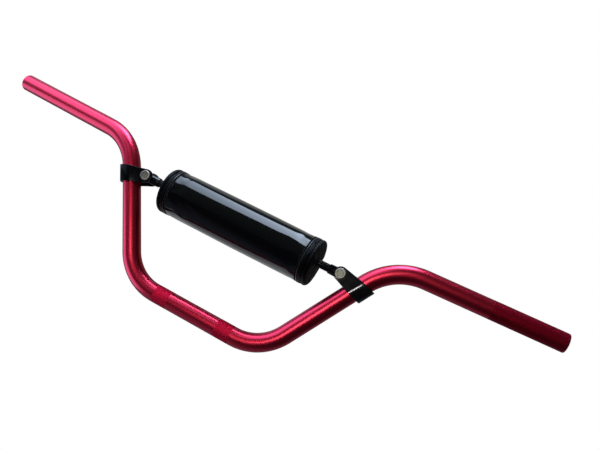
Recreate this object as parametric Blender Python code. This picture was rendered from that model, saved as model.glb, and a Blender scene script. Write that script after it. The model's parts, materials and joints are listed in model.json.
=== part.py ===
# Motocross handlebar with a bolted crossbar and a round crossbar pad.
#
# The bar is one bent aluminium tube. A steel crossbar rod joins its two uprights. Each end of
# the rod sits in an eye, and each eye is bolted between the legs of a strap that is folded round
# the upright. A foam pad in a vinyl sleeve covers the rod.
#
# Metres, +Z up. X runs along the bar, +Y points back towards the rider, and the origin is the
# centre of the clamping section, where the bar mount of the motorcycle grips the tube.

import math

import bmesh
import bpy
from mathutils import Matrix, Vector

# Fit
CLEARANCE = 0.0003

# Bent tube: sharp corners of its centre line, before the bends round them
TUBE_DIAMETER = 0.0222
TUBE_WALL = 0.0035
CENTRE_CORNER_X = 0.0903
SHOULDER_CORNER_X = 0.1835
SHOULDER_HEIGHT = 0.1546
TIP_X = 0.3831
TIP_SWEEP = 0.0275
TIP_LIFT = 0.0091
LOWER_BEND_RADIUS = 0.062
UPPER_BEND_RADIUS = 0.072
TUBE_SIDES = 32
BEND_STEPS = 8

# Folded clamp strap
STRAP_THICKNESS = 0.003
STRAP_WIDTH = 0.0205
STRAP_BELOW_BEND = 0.0002
STRAP_REACH = 0.0239
STRAP_ANGLE = math.radians(17)
EAR_RADIUS = 0.0083
EAR_SHOULDER = 0.0012
WRAP_STEPS = 14
EAR_STEPS = 10
EAR_TIP_ANGLE = math.radians(8)

# Bolt, washer and nut
BOLT_DIAMETER = 0.006
BOLT_HEAD_DIAMETER = 0.0122
BOLT_HEAD_HEIGHT = 0.0026
HEAD_EDGE_ROUND = 0.0005
HEAD_RIM_WIDTH = 0.0013
HEAD_DISH_DEPTH = 0.0004
BOLT_TAIL = 0.0015
BOLT_TAIL_CHAMFER = 0.0006
WASHER_DIAMETER = 0.012
WASHER_THICKNESS = 0.0012
NUT_ACROSS_FLATS = 0.010
NUT_HEIGHT = 0.005
ROUND_SIDES = 24

# Crossbar rod and its eyes
ROD_DIAMETER = 0.0095
ROD_CHAMFER = 0.0005
EYE_DIAMETER = 0.0127
EYE_WIDTH = 0.016
NECK_END_DIAMETER = 0.0114
NECK_LENGTH = 0.016
NECK_TAPER_LENGTH = 0.008
NECK_EDGE_ROUND = 0.0004
SOCKET_DEPTH = 0.0072

# Crossbar pad
ROD_SHOWING = 0.0149
PAD_DIAMETER = 0.0562
PAD_DROP = 0.0021
SLEEVE_THICKNESS = 0.0013
SLEEVE_OPENING = math.radians(34)
CLOSURE_GAP = math.radians(2)
FLAP_OVERLAP = math.radians(7)
FLAP_THICKNESS = 0.0012
FLAP_MARGIN = 0.008
CAP_DEPTH = 0.0112
CAP_THICKNESS = 0.0014
CAP_GROOVE_DEPTH = 0.0009
CAP_FACE_ROUND = 0.0033
CAP_ROUND_STEPS = 4
WELT_DIAMETER = 0.0016
WELT_SUNK = 0.0003
FOAM_SLIT = 0.0012
PAD_SIDES = 48
WELT_SIDES = 8

# Derived places
TUBE_RADIUS = TUBE_DIAMETER / 2
UPRIGHT = Vector((SHOULDER_CORNER_X - CENTRE_CORNER_X, 0, SHOULDER_HEIGHT))
UPRIGHT_DIRECTION = UPRIGHT.normalized()
GRIP = Vector((TIP_X - SHOULDER_CORNER_X, TIP_SWEEP, TIP_LIFT))
UPPER_TANGENT = UPPER_BEND_RADIUS * math.tan(UPRIGHT.angle(GRIP) / 2)
STRAP_STATION = UPRIGHT.length - UPPER_TANGENT - STRAP_BELOW_BEND - STRAP_WIDTH / 2
STRAP_CENTRE = Vector((CENTRE_CORNER_X, 0, 0)) + UPRIGHT_DIRECTION * STRAP_STATION
STRAP_DIRECTION = Vector((-math.cos(STRAP_ANGLE), 0, math.sin(STRAP_ANGLE)))
STRAP_SKEW = UPRIGHT_DIRECTION.angle(STRAP_DIRECTION) - math.pi / 2
BOLT_X = STRAP_CENTRE.x + STRAP_DIRECTION.x * STRAP_REACH
BOLT_Z = STRAP_CENTRE.z + STRAP_DIRECTION.z * STRAP_REACH
LEG_INNER_Y = EYE_WIDTH / 2 + CLEARANCE
LEG_OUTER_Y = LEG_INNER_Y + STRAP_THICKNESS
BOLT_REACH = STRAP_REACH * math.cos(STRAP_SKEW)
BOLT_HOLE_RADIUS = BOLT_DIAMETER / 2 + CLEARANCE
PAD_RADIUS = PAD_DIAMETER / 2
PAD_Z = BOLT_Z - PAD_DROP
PAD_HALF = BOLT_X - NECK_LENGTH - ROD_SHOWING
CAP_START = PAD_HALF - CAP_DEPTH
SLEEVE_END = CAP_START - 2 * CLEARANCE - WELT_DIAMETER
FOAM_RADIUS = PAD_RADIUS - max(SLEEVE_THICKNESS, CAP_THICKNESS) - CLEARANCE
SIDES = (("left", -1), ("right", 1))


# Scene set-up

for item in list(bpy.data.objects):
    bpy.data.objects.remove(item, do_unlink=True)


def material(name, colour, roughness, metallic):
    """A Principled material with one colour."""
    made = bpy.data.materials.new(name)
    made.use_nodes = True
    shader = made.node_tree.nodes["Principled BSDF"]
    shader.inputs["Base Color"].default_value = (*colour, 1.0)
    shader.inputs["Roughness"].default_value = roughness
    shader.inputs["Metallic"].default_value = metallic
    return made


RED_ANODISED = material("red_anodised", (0.42, 0.01, 0.035), 0.32, 1.0)
BLACK_STEEL = material("black_steel", (0.012, 0.012, 0.014), 0.42, 0.0)
ZINC_STEEL = material("zinc_steel", (0.62, 0.62, 0.58), 0.34, 1.0)
PAD_VINYL = material("pad_vinyl", (0.008, 0.008, 0.01), 0.12, 0.0)
PAD_FABRIC = material("pad_fabric", (0.02, 0.02, 0.023), 0.8, 0.0)
PAD_PIPING = material("pad_piping", (0.05, 0.05, 0.055), 0.35, 0.0)
PAD_FOAM = material("pad_foam", (0.03, 0.03, 0.032), 0.95, 0.0)


def empty(name, location=(0, 0, 0), turn=0.0):
    """A holder that pieces are parented to."""
    made = bpy.data.objects.new(name, None)
    made.location = location
    made.rotation_euler = (0, 0, turn)
    bpy.context.collection.objects.link(made)
    return made


def finish(name, mesh, finish_material, parent=None, location=(0, 0, 0), tilt=0.0):
    """Close a bmesh into a named object with its normals out and round faces shaded smooth."""
    bmesh.ops.remove_doubles(mesh, verts=mesh.verts, dist=1e-6)
    bmesh.ops.recalc_face_normals(mesh, faces=mesh.faces)
    data = bpy.data.meshes.new(name)
    mesh.to_mesh(data)
    mesh.free()
    data.materials.append(finish_material)
    data.shade_smooth()
    data.set_sharp_from_angle(angle=math.radians(30))
    made = bpy.data.objects.new(name, data)
    made.location = location
    made.rotation_euler = (0, tilt, 0)
    made.parent = parent
    bpy.context.collection.objects.link(made)
    return made


def cut(target, cutter, operation="DIFFERENCE"):
    """Leave a live Boolean on the target. The cutter shows as wire and isn't rendered."""
    cutter.parent = target
    cutter.hide_render = True
    cutter.display_type = "WIRE"
    step = target.modifiers.new(cutter.name, "BOOLEAN")
    step.operation = operation
    step.object = cutter


# Shape helpers

def revolve(profile, axis, sides):
    """Turn a profile of (along, radius) points round the X or Y axis.

    A profile that starts and ends on the axis gives a solid. Any other is a closed outline and
    gives a ring.
    """
    mesh = bmesh.new()
    closed = min(profile[0][1], profile[-1][1]) > 0
    if axis == "X":
        verts = [mesh.verts.new((along, 0, radius)) for along, radius in profile]
        direction = (1, 0, 0)
    else:
        verts = [mesh.verts.new((0, along, radius)) for along, radius in profile]
        direction = (0, 1, 0)
    edges = [mesh.edges.new(pair) for pair in zip(verts, verts[1:])]
    if closed:
        edges.append(mesh.edges.new((verts[-1], verts[0])))
    bmesh.ops.spin(mesh, geom=verts + edges, cent=(0, 0, 0), axis=direction,
                   angle=math.tau, steps=sides, use_merge=True)
    bmesh.ops.remove_doubles(mesh, verts=mesh.verts, dist=1e-6)
    return mesh


def loft(rings):
    """Join closed rings of points in order and cap both ends."""
    mesh = bmesh.new()
    rows = [[mesh.verts.new(point) for point in ring] for ring in rings]
    for row, following in zip(rows, rows[1:]):
        count = len(row)
        for index in range(count):
            after = (index + 1) % count
            mesh.faces.new((row[index], row[after], following[after], following[index]))
    mesh.faces.new(tuple(reversed(rows[0])))
    mesh.faces.new(rows[-1])
    return mesh


def arc(radius, start, stop, steps, centre=(0.0, 0.0)):
    """Points on a circle, as (first, second) pairs, with both ends included."""
    points = []
    for index in range(steps + 1):
        angle = start + (stop - start) * index / steps
        points.append((centre[0] + radius * math.cos(angle), centre[1] + radius * math.sin(angle)))
    return points


def rod_cutter(name, radius, length, location=(0, 0, 0), axis="Y"):
    """A plain cylinder for cutting round holes."""
    half = length / 2
    mesh = revolve([(-half, 0), (-half, radius), (half, radius), (half, 0)], axis, ROUND_SIDES)
    return finish(name, mesh, BLACK_STEEL, location=location)


# Bent tube

def fillet(before, corner, after, radius):
    """Points of the arc that rounds one corner of the centre line."""
    back = (before - corner).normalized()
    ahead = (after - corner).normalized()
    half_angle = back.angle(ahead) / 2
    reach = radius / math.tan(half_angle)
    centre = corner + (back + ahead).normalized() * radius / math.sin(half_angle)
    first = corner + back * reach - centre
    last = corner + ahead * reach - centre
    axis = first.cross(last).normalized()
    sweep = first.angle(last)
    return [centre + Matrix.Rotation(sweep * step / BEND_STEPS, 3, axis) @ first
            for step in range(BEND_STEPS + 1)]


def tube_centre_line():
    """The bar's centre line from the left tip to the right tip."""
    half = [Vector((0, 0, 0)),
            Vector((CENTRE_CORNER_X, 0, 0)),
            Vector((SHOULDER_CORNER_X, 0, SHOULDER_HEIGHT)),
            Vector((TIP_X, TIP_SWEEP, SHOULDER_HEIGHT + TIP_LIFT))]
    right = fillet(*half[:3], LOWER_BEND_RADIUS)
    right += fillet(*half[1:], UPPER_BEND_RADIUS)
    right.append(half[3])
    left = [Vector((-point.x, point.y, point.z)) for point in reversed(right)]
    return left + right


def tube_frames(path):
    """A ring frame at each point, carried along the path without twist."""
    frames = []
    side = None
    for index, point in enumerate(path):
        nearby = [path[min(index + 1, len(path) - 1)] - point, point - path[max(index - 1, 0)]]
        forward = sum((step.normalized() for step in nearby), Vector()).normalized()
        if side is None:
            side = forward.cross(Vector((0, 1, 0))).normalized()
        side = (side - forward * side.dot(forward)).normalized()
        frames.append((point, side, forward.cross(side)))
    return frames


def tube_ring(frame, radius):
    """One ring of points round the centre line."""
    point, side, up = frame
    ring = []
    for index in range(TUBE_SIDES):
        angle = math.tau * index / TUBE_SIDES
        ring.append(point + (side * math.cos(angle) + up * math.sin(angle)) * radius)
    return ring


def handlebar_tube():
    """The bent bar, open from tip to tip, with flat annular ends."""
    frames = tube_frames(tube_centre_line())
    mesh = bmesh.new()
    skins = []
    for radius in (TUBE_RADIUS, TUBE_RADIUS - TUBE_WALL):
        rows = [[mesh.verts.new(point) for point in tube_ring(frame, radius)] for frame in frames]
        skins.append(rows)
        for row, following in zip(rows, rows[1:]):
            for index in range(TUBE_SIDES):
                after = (index + 1) % TUBE_SIDES
                mesh.faces.new((row[index], row[after], following[after], following[index]))
    outer, inner = skins
    for end in (0, -1):
        for index in range(TUBE_SIDES):
            after = (index + 1) % TUBE_SIDES
            mesh.faces.new((outer[end][index], outer[end][after],
                            inner[end][after], inner[end][index]))
    finish("handlebar_tube", mesh, RED_ANODISED)


# Clamp straps

def leg_slope():
    """Angle at which a leg runs in from the wrap to the flat of its ear."""
    wrap_radius = TUBE_RADIUS + CLEARANCE
    corner = Vector((BOLT_REACH - EAR_RADIUS - EAR_SHOULDER, LEG_INNER_Y))
    return math.atan2(corner.x, corner.y) - math.acos(min(1.0, wrap_radius / corner.length))


def strap_path(offset):
    """One skin of the folded strap as (reach, y) points, from the front ear round to the rear.

    The legs leave the wrap on a tangent, run in towards the eye and lie flat beside it. Reach is
    measured square to the tube, and offset is the skin's distance from the inner one.
    """
    slope = leg_slope()
    wrap_radius = TUBE_RADIUS + CLEARANCE + offset
    leg_y = LEG_INNER_Y + offset
    half_turn = math.pi / 2 + slope
    wrap = [(-across, y) for across, y in arc(wrap_radius, -half_turn, half_turn, WRAP_STEPS)]
    ear = [(BOLT_REACH - EAR_RADIUS - EAR_SHOULDER + offset * math.tan(slope / 2), leg_y)]
    for across, _ in arc(EAR_RADIUS, math.pi, EAR_TIP_ANGLE, EAR_STEPS):
        ear.append((BOLT_REACH + across, leg_y))
    front = [(reach, -y) for reach, y in reversed(ear)]
    return front + wrap + ear


def ear_tangent(side):
    """Where the strap's straight edge meets the round ear, as (along, across)."""
    corner = Vector((-side * math.sin(STRAP_SKEW), side * math.cos(STRAP_SKEW))) * STRAP_WIDTH / 2
    back = corner - Vector((STRAP_REACH, 0))
    turn = -side * math.acos(EAR_RADIUS / back.length)
    touch = Matrix.Rotation(turn, 2) @ back.normalized() * EAR_RADIUS
    across = touch.y / math.cos(STRAP_SKEW)
    return STRAP_REACH + touch.x + across * math.sin(STRAP_SKEW), across


def strap_edge(along, side):
    """How far the strap extends along the tube, above (+1) or below (-1) its middle line.

    The wrap has its full width. The legs taper in straight lines to the round ear.
    """
    touch_along, touch_across = ear_tangent(side)
    if along >= touch_along:
        past = along - STRAP_REACH
        chord = math.sqrt(EAR_RADIUS ** 2 - (past * math.cos(STRAP_SKEW)) ** 2)
        return past * math.sin(STRAP_SKEW) + side * chord
    share = max(along, 0.0) / touch_along
    return side * STRAP_WIDTH / 2 * (1 - share) + touch_across * share


def strap_corner(reach, y, side):
    """A corner of the strap in its own frame: X along its middle line, Z across it."""
    along = reach / math.cos(STRAP_SKEW)
    across = strap_edge(along, side)
    return Vector((along - across * math.sin(STRAP_SKEW), y, across * math.cos(STRAP_SKEW)))


def clamp_strap(name, holder):
    """A flat strip folded round the upright, with a bolt hole through both rounded ears.

    The strip leans on the tube, so its edges are cut askew and the wrap still lies flat on it.
    """
    rings = []
    for inner, outer in zip(strap_path(0.0), strap_path(STRAP_THICKNESS)):
        rings.append([strap_corner(*inner, -1), strap_corner(*inner, 1),
                      strap_corner(*outer, 1), strap_corner(*outer, -1)])
    strap = finish(name, loft(rings), BLACK_STEEL, holder,
                   (-STRAP_CENTRE.x, 0, STRAP_CENTRE.z), -STRAP_ANGLE)
    cut(strap, rod_cutter(name + "_hole", BOLT_HOLE_RADIUS, 4 * LEG_OUTER_Y, (STRAP_REACH, 0, 0)))


# Crossbar

def crossbar_rod():
    """The round rod that the pad covers, with its ends in the sockets of the eyes."""
    half = BOLT_X - NECK_LENGTH + SOCKET_DEPTH - CLEARANCE
    radius = ROD_DIAMETER / 2
    profile = [(-half, 0), (-half, radius - ROD_CHAMFER), (-half + ROD_CHAMFER, radius),
               (half - ROD_CHAMFER, radius), (half, radius - ROD_CHAMFER), (half, 0)]
    finish("crossbar_rod", revolve(profile, "X", ROUND_SIDES), BLACK_STEEL, location=(0, 0, BOLT_Z))


def crossbar_eye(name, holder):
    """An eye for the bolt with a tapered neck that takes the rod's end in a blind socket."""
    eye_radius = EYE_DIAMETER / 2
    half_width = EYE_WIDTH / 2
    barrel = [(-half_width, 0), (-half_width, eye_radius), (half_width, eye_radius), (half_width, 0)]
    eye = finish(name, revolve(barrel, "Y", ROUND_SIDES), BLACK_STEEL, holder, (-BOLT_X, 0, BOLT_Z))
    neck_end = NECK_END_DIAMETER / 2
    neck_radius = eye_radius - NECK_EDGE_ROUND
    socket_radius = ROD_DIAMETER / 2 + CLEARANCE
    socket_floor = NECK_LENGTH - SOCKET_DEPTH
    profile = [(0, 0), (0, neck_radius), (NECK_LENGTH - NECK_TAPER_LENGTH, neck_radius),
               (NECK_LENGTH - NECK_EDGE_ROUND, neck_end), (NECK_LENGTH, neck_end - NECK_EDGE_ROUND),
               (NECK_LENGTH, socket_radius), (socket_floor, socket_radius), (socket_floor, 0)]
    neck = finish(name + "_neck", revolve(profile, "X", ROUND_SIDES), BLACK_STEEL)
    cut(eye, neck, "UNION")
    cut(eye, rod_cutter(name + "_hole", BOLT_HOLE_RADIUS, 2 * EYE_WIDTH))


# Fasteners

def clamp_bolt(name, holder):
    """A pin bolt with a broad flat head that has a raised rim, head to the front."""
    head = BOLT_HEAD_DIAMETER / 2
    shank = BOLT_DIAMETER / 2
    seat = -LEG_OUTER_Y - CLEARANCE
    top = seat - BOLT_HEAD_HEIGHT
    tail = LEG_OUTER_Y + WASHER_THICKNESS + NUT_HEIGHT + 3 * CLEARANCE + BOLT_TAIL
    dish = head - HEAD_EDGE_ROUND - HEAD_RIM_WIDTH
    profile = [(top + HEAD_DISH_DEPTH, 0), (top + HEAD_DISH_DEPTH, dish - HEAD_DISH_DEPTH),
               (top, dish), (top, head - HEAD_EDGE_ROUND), (top + HEAD_EDGE_ROUND, head),
               (seat, head), (seat, shank), (tail - BOLT_TAIL_CHAMFER, shank),
               (tail, shank - BOLT_TAIL_CHAMFER), (tail, 0)]
    finish(name, revolve(profile, "Y", ROUND_SIDES), ZINC_STEEL, holder)


def clamp_washer(name, holder):
    """A flat washer under the nut."""
    start = LEG_OUTER_Y + CLEARANCE
    stop = start + WASHER_THICKNESS
    outer = WASHER_DIAMETER / 2
    profile = [(start, BOLT_HOLE_RADIUS), (start, outer), (stop, outer), (stop, BOLT_HOLE_RADIUS)]
    finish(name, revolve(profile, "Y", ROUND_SIDES), ZINC_STEEL, holder)


def clamp_nut(name, holder):
    """A plain hexagon nut on the bolt's tail."""
    start = LEG_OUTER_Y + WASHER_THICKNESS + 2 * CLEARANCE
    mesh = bmesh.new()
    corner_radius = NUT_ACROSS_FLATS / math.sqrt(3)
    upright = Matrix.Rotation(math.pi / 2, 4, "X")
    bmesh.ops.create_cone(mesh, cap_ends=True, segments=6, radius1=corner_radius,
                          radius2=corner_radius, depth=NUT_HEIGHT, matrix=upright)
    nut = finish(name, mesh, ZINC_STEEL, holder, (0, start + NUT_HEIGHT / 2, 0))
    cut(nut, rod_cutter(name + "_hole", BOLT_HOLE_RADIUS, 2 * NUT_HEIGHT))


# Crossbar pad

def around_pad(points, x):
    """Place (y, z) points of a pad section at one station along the pad."""
    return [Vector((x, y, z)) for y, z in points]


def pad_foam():
    """The foam core, slit along its rear so that it opens over the rod."""
    bore = ROD_DIAMETER / 2 + CLEARANCE
    half_slit = FOAM_SLIT / 2
    end = PAD_HALF - CAP_THICKNESS - CLEARANCE
    rings = []
    for x, shrink in ((-end, CAP_FACE_ROUND), (CAP_FACE_ROUND - end, 0),
                      (end - CAP_FACE_ROUND, 0), (end, CAP_FACE_ROUND)):
        radius = FOAM_RADIUS - shrink
        upper = math.asin((PAD_DROP + half_slit) / radius)
        lower = math.asin((PAD_DROP - half_slit) / radius)
        mouth = math.asin(half_slit / bore)
        outside = arc(radius, upper, lower + math.tau, PAD_SIDES)
        inside = arc(bore, math.tau - mouth, mouth, ROUND_SIDES, (0.0, PAD_DROP))
        rings.append(around_pad(outside + inside, x))
    finish("pad_foam", loft(rings), PAD_FOAM, location=(0, 0, PAD_Z))


def curved_strip(name, inner_radius, thickness, start, stop, half_length, strip_material):
    """A strip of sheet that curves round the pad between two angles."""
    steps = max(2, round(PAD_SIDES * (stop - start) / math.tau))
    section = arc(inner_radius, start, stop, steps)
    section += arc(inner_radius + thickness, stop, start, steps)
    rings = [around_pad(section, -half_length), around_pad(section, half_length)]
    finish(name, loft(rings), strip_material, location=(0, 0, PAD_Z))


def pad_cover():
    """The vinyl sleeve, open along the rear, and the hook-and-loop closure that shuts it."""
    inner_radius = PAD_RADIUS - SLEEVE_THICKNESS
    half_opening = SLEEVE_OPENING / 2
    curved_strip("pad_sleeve", inner_radius, SLEEVE_THICKNESS, half_opening,
                 math.tau - half_opening, SLEEVE_END, PAD_VINYL)
    half_hook = half_opening - CLOSURE_GAP
    strip_end = SLEEVE_END - FLAP_MARGIN
    curved_strip("closure_hook_strip", inner_radius, SLEEVE_THICKNESS, -half_hook, half_hook,
                 strip_end, PAD_FABRIC)
    half_flap = half_opening + FLAP_OVERLAP
    curved_strip("closure_loop_flap", PAD_RADIUS + CLEARANCE, FLAP_THICKNESS, -half_flap, half_flap,
                 strip_end, PAD_FABRIC)


def pad_end_cap(name, holder):
    """A fabric cup over the end of the foam, grooved where its side is sewn to its round face."""
    wall = PAD_RADIUS - CAP_THICKNESS
    inside = PAD_HALF - CAP_THICKNESS
    face_radius = PAD_RADIUS - CAP_GROOVE_DEPTH / 3
    round_centre = (PAD_HALF - CAP_FACE_ROUND, face_radius - CAP_FACE_ROUND)
    groove = round_centre[0] - CAP_GROOVE_DEPTH
    profile = [(inside, 0), (inside, wall - CAP_FACE_ROUND), (inside - CAP_FACE_ROUND, wall),
               (CAP_START, wall), (CAP_START, PAD_RADIUS), (groove - CAP_GROOVE_DEPTH, PAD_RADIUS),
               (groove, PAD_RADIUS - CAP_GROOVE_DEPTH)]
    profile += arc(CAP_FACE_ROUND, math.pi / 2, 0, CAP_ROUND_STEPS, round_centre)
    profile.append((PAD_HALF, 0))
    turned = [(-along, radius) for along, radius in profile]
    cap = finish(name, revolve(turned, "X", PAD_SIDES), PAD_FABRIC, holder, (0, 0, PAD_Z))
    cut(cap, rod_cutter(name + "_hole", ROD_DIAMETER / 2 + CLEARANCE, 4 * CAP_THICKNESS,
                        (CAP_THICKNESS - PAD_HALF, 0, PAD_DROP), "X"))


def pad_welt(name, holder):
    """The piping sewn in between the sleeve and an end cap."""
    radius = WELT_DIAMETER / 2
    centre = (-(SLEEVE_END + CLEARANCE + radius), PAD_RADIUS - WELT_SUNK)
    profile = arc(radius, 0, math.tau, WELT_SIDES, centre)[:-1]
    finish(name, revolve(profile, "X", PAD_SIDES), PAD_PIPING, holder, (0, 0, PAD_Z))


# Assembly. The left side is modelled as it lies, and a half turn about Z makes it the right side.

handlebar_tube()
crossbar_rod()
pad_foam()
pad_cover()
for side_name, side_sign in SIDES:
    turned_holder = empty(f"{side_name}_side", turn=0.0 if side_sign < 0 else math.pi)
    clamp_strap(f"clamp_strap_{side_name}", turned_holder)
    crossbar_eye(f"crossbar_eye_{side_name}", turned_holder)
    pad_end_cap(f"pad_end_cap_{side_name}", turned_holder)
    pad_welt(f"pad_welt_{side_name}", turned_holder)
    bolt_holder = empty(f"{side_name}_bolt_axis", location=(side_sign * BOLT_X, 0, BOLT_Z))
    clamp_bolt(f"clamp_bolt_{side_name}", bolt_holder)
    clamp_washer(f"clamp_washer_{side_name}", bolt_holder)
    clamp_nut(f"clamp_nut_{side_name}", bolt_holder)
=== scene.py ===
# %% [markdown]
# # A motocross handlebar
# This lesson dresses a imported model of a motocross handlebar: a bent red anodised tube, a
# crossbar bolted between its uprights, and a round pad on the crossbar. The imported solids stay
# the frame that everything is measured from. Each visible piece is modelled again here with the
# tools that a modeller would use by hand, and gets a procedural finish.

# %% Load the frame
import json
import math

import bmesh
import bpy
from mathutils import Matrix, Vector

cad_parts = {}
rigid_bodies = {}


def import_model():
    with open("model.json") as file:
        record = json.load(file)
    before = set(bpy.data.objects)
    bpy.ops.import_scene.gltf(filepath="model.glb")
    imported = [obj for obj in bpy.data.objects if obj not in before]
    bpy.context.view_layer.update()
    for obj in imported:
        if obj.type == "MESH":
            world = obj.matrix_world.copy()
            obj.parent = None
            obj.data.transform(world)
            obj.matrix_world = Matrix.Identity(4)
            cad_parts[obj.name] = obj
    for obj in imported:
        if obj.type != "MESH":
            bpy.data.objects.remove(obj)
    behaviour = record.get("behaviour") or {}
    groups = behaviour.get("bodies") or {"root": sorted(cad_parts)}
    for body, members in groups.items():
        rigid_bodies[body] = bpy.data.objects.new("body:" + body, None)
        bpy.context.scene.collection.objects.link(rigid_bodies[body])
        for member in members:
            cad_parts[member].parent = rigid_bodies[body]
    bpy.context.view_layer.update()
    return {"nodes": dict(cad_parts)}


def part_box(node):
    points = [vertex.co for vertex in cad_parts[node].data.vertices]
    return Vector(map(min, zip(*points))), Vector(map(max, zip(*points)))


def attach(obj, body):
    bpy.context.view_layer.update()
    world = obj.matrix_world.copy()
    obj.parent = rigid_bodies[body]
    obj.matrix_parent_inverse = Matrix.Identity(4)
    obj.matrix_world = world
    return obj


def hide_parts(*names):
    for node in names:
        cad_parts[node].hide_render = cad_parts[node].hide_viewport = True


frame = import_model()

# %% [markdown]
# ## Driving sizes
# Everything is in metres. X runs along the bar, +Y points back towards the rider and +Z up. The
# sizes are the same ones that the solids have, so each new piece lands on the solid it stands
# for. What the frame can tell, such as the bolt's place, is read from it.

# %% Driving sizes
TUBE_RADIUS = 0.0111
TUBE_WALL = 0.0035
LOWER_CORNER = Vector((0.0903, 0, 0))
UPPER_CORNER = Vector((0.1835, 0, 0.1546))
TIP = Vector((0.3831, 0.0275, 0.1637))
LOWER_BEND_RADIUS = 0.062
UPPER_BEND_RADIUS = 0.072
UPRIGHT = (UPPER_CORNER - LOWER_CORNER).normalized()
GRIP = (TIP - UPPER_CORNER).normalized()
LATHE_SIDES = 64
HOLE_SIDES = 48


def box_centre(node):
    """The middle of a CAD node's box."""
    low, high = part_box(node)
    return (low + high) / 2


BOLT_X = box_centre("clamp_bolt_right").x
BOLT_Z = box_centre("clamp_bolt_right").z
PAD_Z = box_centre("pad_sleeve").z
PAD_RADIUS = -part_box("pad_end_cap_right")[0].y
PAD_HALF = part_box("pad_end_cap_right")[1].x
CAP_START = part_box("pad_end_cap_right")[0].x
SLEEVE_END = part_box("pad_sleeve")[1].x
print(f"bolts at x {BOLT_X:.4f}, z {BOLT_Z:.4f}; pad at z {PAD_Z:.4f}, radius {PAD_RADIUS:.4f}")

# %% [markdown]
# ## Working by hand, in code
# Blender's operators act on whatever is selected. So before each one, exactly the right object,
# vertices, edges or faces are selected: objects by name, and the parts of a mesh by their place.


# %% Helpers for operators
def take(*objects):
    """Select these objects and nothing else. The last one becomes the active object."""
    bpy.ops.object.select_all(action="DESELECT")
    for item in objects:
        item.select_set(True)
    bpy.context.view_layer.objects.active = objects[-1]


def freeze(made):
    """Put an object's place, turn and scale into its mesh."""
    take(made)
    bpy.ops.object.transform_apply(location=True, rotation=True, scale=True)


def settle(name):
    """Name the newest object and freeze it."""
    made = bpy.context.active_object
    made.name = name
    made.data.name = name
    freeze(made)
    return made


ALONG = {"X": (0, math.pi / 2, 0), "Y": (math.pi / 2, 0, 0)}


def cylinder(name, radius, depth, place, axis="Y", sides=LATHE_SIDES):
    """A cylinder along X or Y."""
    bpy.ops.mesh.primitive_cylinder_add(vertices=sides, radius=radius, depth=depth,
                                        location=place, rotation=ALONG[axis])
    return settle(name)


def block(name, size, place):
    """A box with its sides along the axes."""
    bpy.ops.mesh.primitive_cube_add(size=1, location=place, scale=size)
    return settle(name)


def hoop(name, radius, thickness, place, around, across):
    """A ring of round section about an axis along X."""
    bpy.ops.mesh.primitive_torus_add(major_radius=radius, minor_radius=thickness,
                                     major_segments=around, minor_segments=across,
                                     location=place, rotation=ALONG["X"])
    return settle(name)


def begin_edit(made):
    """Go into edit mode on one object, with vertices as what is picked."""
    take(made)
    bpy.ops.object.mode_set(mode="EDIT")
    bpy.ops.mesh.select_mode(type="VERT")


def end_edit():
    """Leave edit mode."""
    bpy.ops.object.mode_set(mode="OBJECT")


def pick_all():
    """In edit mode, select everything."""
    bpy.ops.mesh.select_all(action="SELECT")


def push(step):
    """In edit mode, extrude what is selected by one straight step."""
    bpy.ops.mesh.extrude_region_move(TRANSFORM_OT_translate={"value": step})


def pick(kind, test):
    """In edit mode, select the vertices, edges or faces that pass a test, and count them."""
    data = bpy.context.edit_object.data
    bpy.ops.mesh.select_mode(type=kind)
    bpy.ops.mesh.select_all(action="DESELECT")
    edit = bmesh.from_edit_mesh(data)
    items = {"VERT": edit.verts, "EDGE": edit.edges, "FACE": edit.faces}[kind]
    chosen = [item for item in items if test(item)]
    for item in chosen:
        item.select_set(True)
    edit.select_flush_mode()
    bmesh.update_edit_mesh(data)
    return len(chosen)


def middle(item):
    """The middle of an edge or a face."""
    return sum((vert.co for vert in item.verts), Vector()) / len(item.verts)


def bevel_where(made, test, width, segments):
    """Bevel the edges that pass a test."""
    begin_edit(made)
    pick("EDGE", test)
    bpy.ops.mesh.bevel(offset=width, segments=segments)
    end_edit()


def modify(made, kind, **settings):
    """Add a modifier, set it and apply it."""
    take(made)
    step = made.modifiers.new(kind.lower(), kind)
    for key, value in settings.items():
        setattr(step, key, value)
    bpy.ops.object.modifier_apply(modifier=step.name)


def soften(made, width, segments, degrees):
    """Bevel the edges that are sharper than an angle."""
    modify(made, "BEVEL", width=width, segments=segments, limit_method="ANGLE",
           angle_limit=math.radians(degrees))


def thicken(made, thickness, offset):
    """Give a sheet its thickness, on one side of it or on both."""
    modify(made, "SOLIDIFY", thickness=thickness, offset=offset, use_even_offset=True)


def smooth(made, degrees=35):
    """Shade smooth, with edges sharper than an angle left crisp."""
    take(made)
    bpy.ops.object.shade_smooth_by_angle(angle=math.radians(degrees))


def outwards(made):
    """Merge doubled vertices and turn every face outwards."""
    begin_edit(made)
    pick_all()
    bpy.ops.mesh.remove_doubles(threshold=1e-6)
    bpy.ops.mesh.normals_make_consistent(inside=False)
    end_edit()


def twin(made, name, turned=True, move=(0, 0, 0)):
    """A copy with its own mesh, turned half round about Z for the other side, or moved."""
    take(made)
    bpy.ops.object.duplicate()
    copy = bpy.context.active_object
    if turned:
        copy.rotation_euler = (0, 0, math.pi)
    copy.location = move
    return settle(name)


def dress(made, material, slot, *nodes):
    """Give a finished piece its material, and let it stand for CAD nodes. The slot is not used."""
    if not made.data.materials:
        made.data.materials.append(material)
    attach(made, "root")
    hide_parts(*nodes)
    print(f"{made.name}: {len(made.data.polygons)} faces")


def dress_pair(left, right, material, slot, node):
    """Dress a piece at the left and its twin at the right."""
    dress(left, material, slot, node + "_left")
    dress(right, material, slot, node + "_right")


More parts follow.
